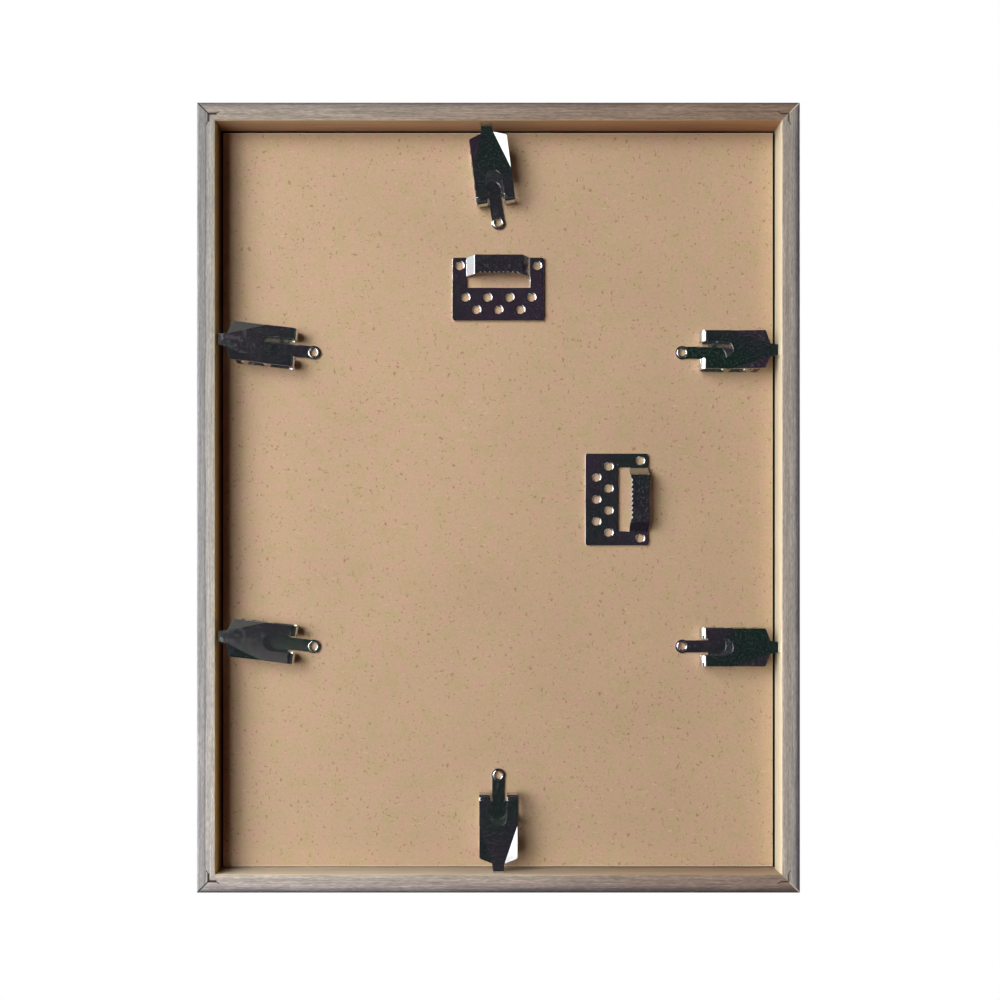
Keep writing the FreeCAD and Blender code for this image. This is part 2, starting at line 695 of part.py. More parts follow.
    def on_corner(ahead, aside):
        """A point ahead of the crease's start and to its side, laid out on the bent corner."""
        sine = "sin(%s)" % CREASE_TURN
        cosine = "cos(%s)" % CREASE_TURN
        x_words = "%s * %s + %s * %s" % (ahead, cosine, aside, sine)
        z_words = "(%s * %s - %s * %s) / cos(crease_bend)" % (ahead, sine, aside, cosine)
        return x_words, z_words

    corner = [
        ("0", "0"),
        (crease_length, "0"),
        on_corner(second_side, "shoulder_cut"),
        on_corner(first_side, "0"),
    ]
    draw_outline(corner_plan, corner)
    bent = pad(body, corner_plan, name + "_bent_corner", "clip_steel")

    # side lugs stand up from the lower leaf and stop the plate when it is pressed down
    lug_plan = new_sketch(body, name + "_lug_plan")
    inside = "(clip_width / 2 - clip_steel)"
    for step in ("0", "1"):
        start = "(eye_beyond + lug_start + %s * lug_pitch)" % step
        knee = "(%s + lug_turn)" % start
        end = "(%s + lug_turn + lug_length)" % start
        lug = [
            (end, half_width),
            (knee, half_width),
            (start, "(clip_width / 2 - lug_turn)"),
            ("(%s + clip_steel)" % start, "(clip_width / 2 - lug_turn - clip_steel)"),
            ("(%s + clip_steel / 2)" % knee, inside),
            (end, inside),
        ]
        draw_outline(lug_plan, lug)
    lugs = pad(body, lug_plan, name + "_lugs", "lug_high")

    leaf_plan = new_sketch(body, name + "_leaf_plan", height="clip_high / 2")
    leaf_corner = [
        (LEAF_FRONT, "(clip_width / 2 - leaf_round)"),
        ("(%s + overrun)" % LEAF_FRONT, "(clip_width / 2 - leaf_round)"),
        ("(%s + overrun)" % LEAF_FRONT, past_side),
        ("(%s - leaf_round)" % LEAF_FRONT, past_side),
        ("(%s - leaf_round)" % LEAF_FRONT, half_width),
    ]
    draw_outline(leaf_plan, leaf_corner)
    leaf_cut = pocket(body, leaf_plan, name + "_leaf_corner", "clip_high / 2 + overrun")

    other_side = body.newObject("PartDesign::Mirrored", name + "_other_side")
    other_side.Originals = [trimmed, bent, lugs, leaf_cut]
    other_side.MirrorPlane = (plane_of(body, "XY_Plane"), [""])
    body.Tip = other_side
    document.recompute()


def check_document():
    """Stops the script if an object failed or a part has no sound solid."""
    for thing in document.Objects:
        if "Invalid" in thing.State or "Error" in thing.State:
            raise ValueError("%s is %s" % (thing.Name, thing.State))
    for body in parts:
        shape = body.Shape
        if shape.isNull() or not shape.isValid() or not shape.Solids:
            raise ValueError("%s has no sound solid" % body.Label)


def write_parts():
    os.makedirs("parts", exist_ok=True)
    for body in parts:
        body.Shape.exportStep("parts/%s.step" % body.Label)
        box = body.Shape.BoundBox
        print(
            "%-24s solids %d  volume %10.1f  x %7.2f..%7.2f  y %6.2f..%6.2f  z %7.2f..%7.2f"
            % (
                body.Label,
                len(body.Shape.Solids),
                body.Shape.Volume,
                box.XMin,
                box.XMax,
                box.YMin,
                box.YMax,
                box.ZMin,
                box.ZMax,
            )
        )


for rail_name in RAILS:
    make_rail(rail_name)
for corner_name in CORNERS:
    make_nail(corner_name)
make_pane("glass_pane", GLASS_TOP, "glass_thick")
make_pane("picture_sheet", PICTURE_TOP, "picture_thick")
make_board()
for hanger_name in HANGERS:
    make_hanger(hanger_name)
for clip_name in CLIPS:
    make_clip(clip_name)

document.recompute()
check_document()
write_parts()
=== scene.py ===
# %% [markdown]
# # The back of a wooden picture frame
#
# The object is a picture frame as someone sees it who is about to change the picture: four
# mitred rails, a sheet of hardboard in their rebate, six spring clips that hold it, and two
# sawtooth hangers. The solids come from the imported model, and this script gives them their
# looks.
#
# We load that model first. Everything in it is in metres, +Z is up, and the side that we look
# at faces -Y. Its box gives the frame's size and its middle.

# %% Load the solids
import math

import bmesh
import bpy
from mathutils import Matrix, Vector


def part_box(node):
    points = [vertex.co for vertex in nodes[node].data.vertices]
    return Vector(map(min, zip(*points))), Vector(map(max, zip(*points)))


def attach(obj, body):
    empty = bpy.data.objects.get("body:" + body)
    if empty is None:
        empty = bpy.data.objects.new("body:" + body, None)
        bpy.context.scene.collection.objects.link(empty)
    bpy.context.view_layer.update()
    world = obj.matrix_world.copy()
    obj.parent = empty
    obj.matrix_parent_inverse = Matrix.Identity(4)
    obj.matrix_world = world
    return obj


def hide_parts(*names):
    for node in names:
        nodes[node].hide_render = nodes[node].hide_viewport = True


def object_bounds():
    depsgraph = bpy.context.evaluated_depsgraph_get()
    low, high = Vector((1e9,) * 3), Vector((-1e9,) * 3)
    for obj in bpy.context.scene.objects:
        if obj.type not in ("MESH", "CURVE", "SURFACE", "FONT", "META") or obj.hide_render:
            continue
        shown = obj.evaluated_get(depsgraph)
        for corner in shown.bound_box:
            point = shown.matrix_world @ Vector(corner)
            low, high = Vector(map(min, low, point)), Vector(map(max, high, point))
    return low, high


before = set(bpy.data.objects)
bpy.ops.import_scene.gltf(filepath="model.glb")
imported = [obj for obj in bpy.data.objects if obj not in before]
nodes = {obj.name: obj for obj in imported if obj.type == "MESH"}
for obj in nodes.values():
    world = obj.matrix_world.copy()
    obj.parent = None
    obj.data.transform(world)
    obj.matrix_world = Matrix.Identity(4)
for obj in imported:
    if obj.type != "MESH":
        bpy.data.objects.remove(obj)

MM = 0.001

scene = bpy.context.scene
cad_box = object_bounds()
frame_low, frame_high = Vector(cad_box[0]), Vector(cad_box[1])
middle = (frame_low + frame_high) / 2
board_low, board_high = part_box("backing_board")
board_back = board_low.y
print("solids:", len(nodes), "frame middle:", tuple(round(value, 4) for value in middle))


def set_down(name, data):
    """A new object in the scene, at the origin."""
    thing = bpy.data.objects.new(name, data)
    scene.collection.objects.link(thing)
    return thing


# %% [markdown]
# ## The camera
#
# A camera that looks straight at a flat frame keeps its sides parallel. One that stands off to
# the side but doesn't turn shows the inner walls of one side more than those of the other, and
# that is how this frame was seen: from a little to the left of its middle and well below it.
# The lens is moved over its film (shift) to bring the frame back into the picture, which is
# what a view camera does. Turning the camera instead would make the sides converge.

# %% Camera
CAMERA_PLACE = (-0.0072, -0.411, -0.17175)
LENS = 27.76
FILM_WIDTH = 36.0
SHIFT_ACROSS, SHIFT_UP = 0.015, 0.09
NEAREST = 0.01

camera_data = bpy.data.cameras.new("camera")
camera_data.lens = LENS
camera_data.sensor_width = FILM_WIDTH
camera_data.shift_x, camera_data.shift_y = SHIFT_ACROSS, SHIFT_UP
camera_data.clip_start = NEAREST
camera = set_down("camera", camera_data)
camera.location = CAMERA_PLACE
camera.rotation_euler = (math.radians(90), 0, 0)
scene.camera = camera
print("camera", CAMERA_PLACE, "lens", LENS)

# %% [markdown]
# ## A bench for node trees
#
# The room, every finish and every Geometry Nodes tree below are small networks of nodes. Adding
# a node, setting its sockets and wiring it up takes three lines each time, so a small class does
# it. Most of its methods add one node and give back its output, and any input may be a plain
# value or another node's output.

# %% Colours
def srgb(red, green, blue):
    """A colour as a screen shows it, 0 to 255, as the light values that Blender mixes."""

    def light(value):
        value /= 255
        return value / 12.92 if value <= 0.04045 else ((value + 0.055) / 1.055) ** 2.4

    return (light(red), light(green), light(blue), 1.0)


def grey_tone(value):
    """A grey, as a light value that may be above 1 for a glare."""
    return (value, value, value, 1.0)


# %% Helper for node trees
class Bench:
    """A node tree in the making."""

    def __init__(self, tree):
        self.tree = tree

    def add(self, kind, inputs=(), **settings):
        """Adds a node: inputs are (name or number, value or output), settings are its own."""
        node = self.tree.nodes.new(kind)
        for name, value in settings.items():
            setattr(node, name, value)
        for name, value in inputs:
            self.feed(node.inputs[name], value)
        return node

    def made(self, kind, inputs=(), **settings):
        """Adds a node and gives back its first output."""
        return self.add(kind, inputs, **settings).outputs[0]

    def feed(self, socket, value):
        """Wires a node's output into a socket, or types a plain value into it."""
        if isinstance(value, bpy.types.NodeSocket):
            self.tree.links.new(value, socket)
        else:
            socket.default_value = value

    def math(self, operation, first, second=0.0):
        return self.made("ShaderNodeMath", [(0, first), (1, second)], operation=operation)

    def product(self, first, *others):
        """All the values multiplied."""
        for other in others:
            first = self.math("MULTIPLY", first, other)
        return first

    def axes(self, place):
        """The three coordinates of a place."""
        return self.add("ShaderNodeSeparateXYZ", [(0, place)]).outputs

    def facing(self, direction, target):
        """How far a direction agrees with a target direction, 1 for all the way."""
        inputs = [(0, direction), (1, target)]
        return self.add("ShaderNodeVectorMath", inputs, operation="DOT_PRODUCT").outputs["Value"]

    def noise(self, place, scale=1.0, detail=2.0, distortion=0.0, roughness=0.5):
        inputs = [("Vector", place), ("Scale", scale), ("Detail", detail)]
        inputs += [("Distortion", distortion), ("Roughness", roughness)]
        return self.made("ShaderNodeTexNoise", inputs)

    def spread(self, value, low, high, new_low=0.0, new_high=1.0):
        """Maps the range from low to high onto a new range, softly at both ends."""
        inputs = [("Value", value), ("From Min", low), ("From Max", high)]
        inputs += [("To Min", new_low), ("To Max", new_high)]
        return self.made("ShaderNodeMapRange", inputs, interpolation_type="SMOOTHSTEP")

    def bands(self, value, stops):
        """A colour ramp from (position, colour) pairs, the positions from 0 to 1."""
        node = self.add("ShaderNodeValToRGB", [(0, value)])
        elements = node.color_ramp.elements
        while len(elements) < len(stops):
            elements.new(0.5)
        for element, (position, colour) in zip(elements, stops):
            element.position = position
            element.color = colour
        return node.outputs[0]

    def mix(self, amount, first, second, kind="MIX"):
        inputs = [(0, amount), (6, first), (7, second)]
        return self.add("ShaderNodeMix", inputs, data_type="RGBA", blend_type=kind).outputs[2]


# %% [markdown]
# ## Light for mirrors
#
# Bright plated steel has hardly any colour of its own: it shows the room. Here its plates are
# nearly black, because what they mirror, the side where the camera stands, is dark, while every
# edge and bend that turns to the left is white, because a large window stands there. So the
# lights are planned by the direction in which the steel sees them, in degrees to the left of
# the camera's side and upwards: a bright window from 48 to 72 degrees, a dimmer pale blind
# between it and the camera's side, and a dim pane further round. The soft edge of the shadow
# on the board tells how much light comes from each: half of it comes from beyond 49 degrees.
#
# How bright a light looks in a mirror is its glare, and Blender wants its whole output in
# watts, which is glare times pi times area. A plain bright rectangle would make a whole plate
# white when the camera goes round, so the mirrors don't see the window and the blind as these
# lights but as the room paints them below, with bars and slats. The last light
# stands on the glass side, for the other views.

# %% Lights
def soft_box(name, left, up, away, wide, high, glare, mirrored=True):
    """A rectangular light, placed by its direction from the frame's middle, sized in degrees."""
    left, up = math.radians(left), math.radians(up)
    level = math.cos(up)
    towards = Vector((-math.sin(left) * level, -math.cos(left) * level, math.sin(up)))
    data = bpy.data.lights.new(name, "AREA")
    data.shape = "RECTANGLE"
    data.size = 2 * away * math.tan(math.radians(wide / 2))
    data.size_y = 2 * away * math.tan(math.radians(high / 2))
    data.energy = glare * math.pi * data.size * data.size_y
    light = set_down(name, data)
    light.location = middle + towards * away
    light.rotation_euler = (-towards).to_track_quat("-Z", "Y").to_euler()
    light.visible_glossy = mirrored
    print(name, "%.2f x %.2f m, %.0f W" % (data.size, data.size_y, data.energy))


soft_box("window", left=60, up=16, away=2.4, wide=24, high=52, glare=9.2, mirrored=False)
soft_box("pale_blind", left=37, up=6, away=2.4, wide=20, high=70, glare=2.9, mirrored=False)
soft_box("side_window", left=84, up=4, away=1.6, wide=20, high=84, glare=1.6)
soft_box("glass_side_light", left=-140, up=28, away=1.8, wide=40, high=40, glare=6.0)

# %% [markdown]
# ## Room
#
# The backdrop is white, but a white room would turn every steel plate white. Light Path tells a
# ray that comes straight from the camera from one that has bounced before, so the camera sees
# white while the steel sees a dark room with faint green and purple corners, one grey thing
# beside the camera, the slats of the blind, the panes of the window, and light behind the
# frame. They are painted infinitely far away, because all the clips must see them in the same
# direction: the right-hand corners of two clips turn towards the blind's near edge, and the
# left-hand clips just miss it.
#
# Dull surfaces get only a dim brown light from the room, which keeps the shadows deep and warm.
# For that, the room's sampling is off: else its painted window would light them a second time.

# %% Room
WHITE = grey_tone(1.0)
DIM_BROWN = (0.012, 0.003, 0.002, 1.0)
FAINT_GREEN, FAINT_PURPLE = (0.010, 0.024, 0.020, 1), (0.040, 0.026, 0.042, 1)
BESIDE_CAMERA, BESIDE_TONE = (-0.262, -0.914, -0.309), (0.115, 0.115, 0.11, 1)
BEHIND, BEHIND_TONE = (0.0, 1.0, 0.0), grey_tone(0.6)

# how far a direction agrees with the middle of such a shade, where it starts and where it is full
BESIDE_SPREAD = (0.9636, 0.978)
BEHIND_SPREAD = (0.15, 0.5)

# start and end in degrees to the left, low and high as the height of a direction of length 1
BLIND = dict(start=19.9, end=47.0, low=-0.45, high=0.6)
WINDOW = dict(start=48.0, end=72.0, low=-0.18, high=0.68)
SLAT_GAP, SLAT = grey_tone(1.2), grey_tone(2.2)
WINDOW_BAR, WINDOW_PANE = grey_tone(0.6), grey_tone(16.0)
SLATS_UP, BARS_UP, BARS_ASIDE = 40.0, 20.0, 0.8
SOFT_START = 0.2


def make_room():
    world = bpy.data.worlds.new("room")
    scene.world = world
    world.use_nodes = True
    world.cycles.sampling_method = "NONE"
    bench = Bench(world.node_tree)
    direction = bench.add("ShaderNodeTexCoord").outputs["Generated"]
    light_path = bench.add("ShaderNodeLightPath").outputs
    x, y, z = bench.axes(direction)
    aside = bench.math("ARCTANGENT", bench.math("DIVIDE", x, y))
    aside = bench.math("MULTIPLY", aside, 180 / math.pi)
    in_front = bench.math("LESS_THAN", y, 0.0)

    def opening(start, end, low, high):
        """1 between two directions, in degrees to the left, and two heights, else 0."""
        before_end = bench.math("LESS_THAN", aside, end)
        over, under = bench.math("GREATER_THAN", z, low), bench.math("LESS_THAN", z, high)
        past_start = bench.spread(aside, start, start + SOFT_START)
        return bench.product(past_start, before_end, over, under, in_front)

    def stripes(value, per_unit):
        """Wide stripes of 1 with narrow ones of 0 between them, to draw slats and panes."""
        wave = bench.math("SINE", bench.math("MULTIPLY", value, per_unit))
        return bench.spread(wave, -1.0, -0.75)

    corners = bench.noise(direction, scale=5, detail=3)
    shades = bench.bands(corners, [(0.42, FAINT_GREEN), (0.58, FAINT_PURPLE)])
    beside = bench.spread(bench.facing(direction, BESIDE_CAMERA), *BESIDE_SPREAD)
    shades = bench.mix(beside, shades, BESIDE_TONE)
    slats = bench.mix(stripes(z, SLATS_UP), SLAT_GAP, SLAT)
    shades = bench.mix(opening(**BLIND), shades, slats)
    panes = bench.math("MULTIPLY", stripes(aside, BARS_ASIDE), stripes(z, BARS_UP))
    glare = bench.mix(panes, WINDOW_BAR, WINDOW_PANE)
    shades = bench.mix(opening(**WINDOW), shades, glare)
    shades = bench.mix(light_path["Is Diffuse Ray"], shades, DIM_BROWN)
    behind = bench.spread(bench.facing(direction, BEHIND), *BEHIND_SPREAD)
    shades = bench.mix(behind, shades, BEHIND_TONE)
    background = world.node_tree.nodes["Background"]
    bench.feed(background.inputs["Color"], bench.mix(light_path["Is Camera Ray"], shades, WHITE))


make_room()
scene.view_settings.view_transform = "Standard"
print("room: blind", BLIND, "window", WINDOW)

# %% [markdown]
# ## Floor
#
# The floor lies at the frame's lowest edge and does as the room does: it is white to the
# camera, dark brown to the light that it sends back, and left out of the mirrors.

# %% Floor
FLOOR_BROWN = (0.06, 0.025, 0.018, 1)
FLOOR_REACH = 3.0


def one_face(name, corners):
    """An object that is a single flat face."""
    mesh = bpy.data.meshes.new(name)
    mesh.from_pydata(corners, [], [(0, 1, 2, 3)])
    return set_down(name, mesh)


def make_floor(height, reach):
    corners = [(-reach, -reach), (reach, -reach), (reach, reach), (-reach, reach)]
    floor = one_face("floor", [(x, y, height) for x, y in corners])
    floor.visible_glossy = False
    floor.visible_shadow = False
    material = bpy.data.materials.new("floor")
    material.use_nodes = True
    floor.data.materials.append(material)
    bench = Bench(material.node_tree)
    shader = material.node_tree.nodes["Principled BSDF"]
    shader.inputs["Base Color"].default_value = FLOOR_BROWN
    painted_bounce = bench.made("ShaderNodeEmission", [("Color", WHITE)])
    seen = bench.add("ShaderNodeLightPath").outputs["Is Camera Ray"]
    surface = bench.made("ShaderNodeMixShader", [(0, seen), (1, shader.outputs[0]), (2, painted_bounce)])
    bench.feed(material.node_tree.nodes["Material Output"].inputs["Surface"], surface)


make_floor(frame_low.z, FLOOR_REACH)
print("floor at z", round(frame_low.z, 4))

# %% [markdown]
# ## A base for finishes
#
# Each finish feeds one Principled shader, and its patterns read Object coordinates. All pieces
# have their object at the origin, so these are places on the frame in metres, and a pattern may
# say "beside the inner wall" in plain figures.

# %% Helper for finishes
class Finish(Bench):
    """A material in the making."""

    def __init__(self, name, metallic=0.0):
        self.material = bpy.data.materials.new(name)
        self.material.use_nodes = True
        super().__init__(self.material.node_tree)
        self.shader = self.tree.nodes["Principled BSDF"]
        self.shader.inputs["Metallic"].default_value = metallic
        self.place = self.add("ShaderNodeTexCoord").outputs["Object"]

    def look(self, **inputs):
        """Feeds the shader's sockets, with _ for the blank in a socket's name."""
        for name, value in inputs.items():
            self.feed(self.shader.inputs[name.replace("_", " ")], value)

    def stretched(self, scale, move=(0, 0, 0), turn=(0, 0, 0)):
        """The place, moved, turned and scaled: a small scale draws a pattern out."""
        inputs = [("Vector", self.place), ("Location", move), ("Rotation", turn), ("Scale", scale)]
        return self.made("ShaderNodeMapping", inputs)

    def centred(self):
        """The three coordinates of the place, counted from the frame's middle along z."""
        return self.axes(self.stretched((1, 1, 1), move=(0, 0, -middle.z)))

    def shaded(self, colour, pattern, amount, dark, pale, start=0.34, end=0.66):
        """Multiplies a colour by a pattern that runs from a dark tone to a pale one."""
        shades = self.bands(pattern, [(start, grey_tone(dark)), (end, grey_tone(pale))])
        return self.mix(amount, colour, shades, "MULTIPLY")

    def relief(self, height, depth, strength=1.0):
        """Feeds a height pattern to the shader as bumps of a depth in metres."""
        inputs = [("Distance", depth), ("Strength", strength), ("Height", height)]
        self.feed(self.shader.inputs["Normal"], self.made("ShaderNodeBump", inputs))


def dress(node, material):
    """Puts a finish on a solid that stays as it is."""
    for slot in nodes[node].material_slots:
        slot.material = material


# %% [markdown]
# ## Washed wood
#
# The rails are a pale softwood, brushed with a thin grey-brown wash on all faces but the inner
# walls, where the raw cream wood shows. The wash is darker near the outer edge, and worn off
# along the inner arris. The grain runs along each rail, so a noise is drawn out along the rail:
# a slow one for the broad streaks, shorter and finer ones for the fibres and the pores.
#
# One finish for all four rails would need to know which way a rail runs. It is simpler to make
# the same network four times, with the grain's direction and a few colours as arguments. The
# value that carries the pattern is the distance from the outer edge, in millimetres. This cell
# prepares the places and the grain, and each of the next ones paints one part of the finish.

# %% Places and grain on a rail
HALF_WIDE = frame_high.x
HALF_HIGH = (frame_high.z - frame_low.z) / 2

# each grain's scale along and across the rail, and its darkest and palest tone
GRAINS = {
    "broad": (8, 380, 0.94, 1.04),
    "short": (120, 1000, 0.9, 1.07),
    "fine": (34, 1900, 0.78, 1.18),
    "pores": (330, 2600, 0.74, 1.16),
}


class RailFinish(Finish):
    """The finish of a rail that runs along x or z."""

    def __init__(self, rail, runs, seed):
        super().__init__("washed_wood_" + rail)
        self.runs, self.seed = runs, seed
        self.x, self.deep, z = self.centred()
        side_x, side_z = self.math("ABSOLUTE", self.x), self.math("ABSOLUTE", z)
        from_side = self.math("SUBTRACT", HALF_WIDE, side_x)
        from_top = self.math("SUBTRACT", HALF_HIGH, side_z)
        if runs == "x":
            inwards, to_end = from_top, from_side
            self.along = self.spread(self.x, -HALF_WIDE, HALF_WIDE)
        else:
            inwards, to_end = from_side, from_top
            self.along = self.spread(z, HALF_HIGH, -HALF_HIGH)
        self.from_edge = self.math("MULTIPLY", inwards, 1 / MM)
        self.from_end = self.math("MULTIPLY", to_end, 1 / MM)
        past_corner = self.math("ADD", self.math("SUBTRACT", side_x, side_z), HALF_HIGH - HALF_WIDE)
        self.from_mitre = self.math("ABSOLUTE", past_corner)
        self.on_right = self.math("GREATER_THAN", self.x)
        self.grains = {name: self.grain(*grain[:2]) for name, grain in GRAINS.items()}

    def grain(self, along, across):
        scale = (along, across, across) if self.runs == "x" else (across, across, along)
        move = (self.seed, self.seed * 0.7, self.seed * 0.3)
        return self.noise(self.stretched(scale, move=move), detail=3.0)


# %% [markdown]
# The washed back face comes first: its tones, which are given from the outer edge inwards,
# wander a little along the rail, and the streaks lie over them. Then comes the rawer wood of
# the worn arris and the inner wall. Down the wall it darkens into painted shade, and below the
# board's back it takes a painted tone of its own: painted shade in the gap on three rails, and
# painted light on the bottom one.

# %% The wash and the inner wall
BACK_WIDTH = 10.0
WORN_FROM, WORN_TO = BACK_WIDTH - 0.55, BACK_WIDTH - 0.2
REBATE_DEEP = 15.05 * MM
ARRIS_TO, WALL_FROM = 0.2 * MM, 8 * MM
WANDER = 0.4


def wash(rail, tones):
    """The washed back face."""
    wander = rail.spread(rail.grain(12, 50), 0.3, 0.7, -WANDER, WANDER)
    step = rail.math("DIVIDE", rail.math("ADD", rail.from_edge, wander), BACK_WIDTH)
    colour = rail.bands(step, [(at / BACK_WIDTH, tone) for at, tone in tones])
    for name, (_, _, dark, pale) in GRAINS.items():
        colour = rail.shaded(colour, rail.grains[name], 1.0, dark, pale)
    return colour


def bare_inside(rail, colour, arris, wall_tone_and_shade, gap_light_and_shade):
    """Paints the worn arris and the inner wall over the wash, with painted shade down the wall and
    a painted tone in the gap below the board.
    """
    ragged = rail.spread(rail.grains["short"], 0.35, 0.65, -0.12, 0.12)
    on_wall = rail.spread(rail.math("ADD", rail.from_edge, ragged), WORN_FROM, WORN_TO)
    in_rebate = rail.spread(rail.deep, REBATE_DEEP, REBATE_DEEP + 0.1 * MM, 1.0, 0.0)
    # painted shade: the wall darkens from the arris down towards the board
    inside = rail.mix(rail.spread(rail.deep, ARRIS_TO, WALL_FROM), arris, wall_tone_and_shade)
    inside = rail.shaded(inside, rail.grains["broad"], 0.7, 0.9, 1.05)
    inside = rail.shaded(inside, rail.grains["fine"], 0.7, 0.86, 1.08)
    # painted shade in the gap below the board's back, and painted light on the bottom rail
    inside = rail.mix(rail.spread(rail.deep, board_back, board_back + 0.3 * MM), inside, gap_light_and_shade)
    return rail.mix(rail.math("MULTIPLY", on_wall, in_rebate), colour, inside)


# %% [markdown]
# At the corners, the seam of the mitre is open outside the nail's knee but nearly shut inside
# it. The seams on the left are painted shade and those on the right painted light. Beside the
# legs of the corner nails lies a painted shadow, darkest on the left.

# %% The seam and the stain
# painted shade for the open seams on the left, painted light for those on the right
SEAM_SHADE = srgb(26, 22, 22)
SEAM_LIGHT = srgb(218, 200, 182)
# painted shadow beside the legs of the corner nails
NAIL_SHADOW = srgb(50, 38, 30)
KNEE_FROM_EDGE = 6.0
SEAM_CORE, SEAM_RIM = 0.25 * MM, 0.65 * MM
LEG_FROM_EDGE = KNEE_FROM_EDGE + 0.4
SHADOW_CORE, SHADOW_RIM = 0.45, 0.95
SHADOW_LONG = (4.3, 5.1)
SHADOW_LEFT, SHADOW_RIGHT = 0.85, 0.3


def mitre_seam(rail):
    """1 in the open seam, 0 beside it."""
    line = rail.spread(rail.from_mitre, SEAM_CORE, SEAM_RIM, 1.0, 0.0)
    shut = rail.spread(rail.from_edge, KNEE_FROM_EDGE - 0.6, KNEE_FROM_EDGE + 1.6, 1.0, 0.2)
    return rail.math("MULTIPLY", line, shut)


def nail_shadow(rail):
    """How dark the painted shadow beside a nail's leg is."""
    past_knee = rail.math("SUBTRACT", rail.from_end, KNEE_FROM_EDGE)
    beside_leg = rail.math("SUBTRACT", rail.from_edge, LEG_FROM_EDGE)
    return rail.product(
        rail.spread(rail.math("ABSOLUTE", beside_leg), SHADOW_CORE, SHADOW_RIM, 1.0, 0.0),
        rail.spread(past_knee, -0.5, 0.0),
        rail.spread(past_knee, *SHADOW_LONG, 1.0, 0.0),
        rail.spread(rail.on_right, 0.0, 1.0, SHADOW_LEFT, SHADOW_RIGHT),
    )


# %% [markdown]
# The four rails differ in their tones. The left and right rails grow lighter towards the bottom,
# the top and bottom rails darker towards the right. The tones are read from the outer edge
# inwards, each with its distance in millimetres.

# %% Dress the rails
# painted shadow, for the dark gap beside the board and a band along the board's right edge
GAP_SHADOW = srgb(24, 14, 10)
# each rail's wall and gap tones carry painted shade; the bottom rail's gap tone is painted light
RAILS = {
    "left": dict(
        runs="z", seed=1.3, far_end_tone=(1.5, 1.48, 1.5, 1),
        arris=srgb(214, 194, 132), wall_tone_and_shade=srgb(118, 66, 28), gap_light_and_shade=GAP_SHADOW,
        tones=[
            (0.0, srgb(110, 110, 112)), (1.1, srgb(146, 146, 145)), (3.8, srgb(149, 149, 148)),
            (4.6, srgb(122, 118, 116)), (5.3, srgb(172, 169, 163)), (9.2, srgb(174, 170, 161)),
        ],
    ),
    "right": dict(
        runs="z", seed=4.1, far_end_tone=(1.14, 1.16, 1.18, 1),
        arris=srgb(208, 194, 168), wall_tone_and_shade=srgb(180, 171, 145), gap_light_and_shade=GAP_SHADOW,
        tones=[
            (0.0, srgb(84, 83, 86)), (1.1, srgb(102, 100, 103)), (2.1, srgb(126, 121, 120)),
            (3.1, srgb(164, 158, 154)), (5.2, srgb(182, 174, 163)), (6.3, srgb(172, 163, 152)),
            (8.4, srgb(188, 177, 165)), (9.6, srgb(194, 181, 169)),
        ],
    ),
    "top": dict(
        runs="x", seed=7.7, far_end_tone=(0.78, 0.64, 0.55, 1),
        arris=srgb(220, 196, 160), wall_tone_and_shade=srgb(198, 160, 132), gap_light_and_shade=GAP_SHADOW,
        tones=[
            (0.0, srgb(88, 83, 80)), (0.9, srgb(120, 113, 108)), (1.8, srgb(150, 142, 134)),
            (4.0, srgb(168, 158, 147)), (9.2, srgb(170, 158, 145)),
        ],
    ),
    "bottom": dict(
        runs="x", seed=9.2, far_end_tone=(0.6, 0.5, 0.44, 1),
        arris=srgb(224, 214, 188), wall_tone_and_shade=srgb(200, 188, 174), gap_light_and_shade=srgb(252, 236, 212),
        tones=[
            (0.0, srgb(88, 86, 88)), (1.2, srgb(116, 114, 118)), (2.5, srgb(160, 154, 154)),
            (4.0, srgb(199, 188, 183)), (7.6, srgb(205, 194, 186)), (9.2, srgb(214, 204, 190)),
        ],
    ),
}


def washed_wood(name, runs, seed, tones, far_end_tone, arris, wall_tone_and_shade, gap_light_and_shade):
    rail = RailFinish(name, runs, seed)
    colour = bare_inside(rail, wash(rail, tones), arris, wall_tone_and_shade, gap_light_and_shade)
    # each rail grows darker or lighter towards one end
    end_tone_ramp = rail.bands(rail.along, [(0.0, WHITE), (1.0, far_end_tone)])
    colour = rail.mix(1.0, colour, end_tone_ramp, "MULTIPLY")
    seam = mitre_seam(rail)
    # painted shade in the seams on the left, painted light in those on the right
    colour = rail.mix(seam, colour, rail.mix(rail.on_right, SEAM_SHADE, SEAM_LIGHT))
    # painted shadow beside the nails' legs, darkest on the left
    colour = rail.mix(nail_shadow(rail), colour, NAIL_SHADOW)
    broad, short, fine = (rail.grains[grain] for grain in ("broad", "short", "fine"))
    rail.look(Base_Color=colour, Roughness=rail.spread(broad, 0.3, 0.7, 0.5, 0.66))
    height = rail.math("ADD", rail.math("ADD", broad, short), rail.math("MULTIPLY", fine, 0.5))
    rail.relief(rail.math("SUBTRACT", height, seam), 0.1 * MM, 0.7)
    return rail.material


for rail, look in RAILS.items():
    dress("rail_" + rail, washed_wood(rail, **look))
    print("rail", rail, "dressed, grain along", look["runs"])

# %% [markdown]
# ## Hardboard
#
# The back is hardboard: wood fibres pressed hard with their own resin, tan and nearly smooth.
# Its surface has faint pink and yellow clouds, a very fine grain, and dark flecks of bark about
# a millimetre long that lie at all angles. The flecks are a noise whose highest peaks alone are
# let through, drawn out in two directions so that they don't all point the same way. The sawn
# rim is fuzzy and pale, and part of that paleness is a painted highlight of the edge catching
# the light. Along the right edge a narrow dark band is painted shadow, which widens the dark gap
# beside the rail.

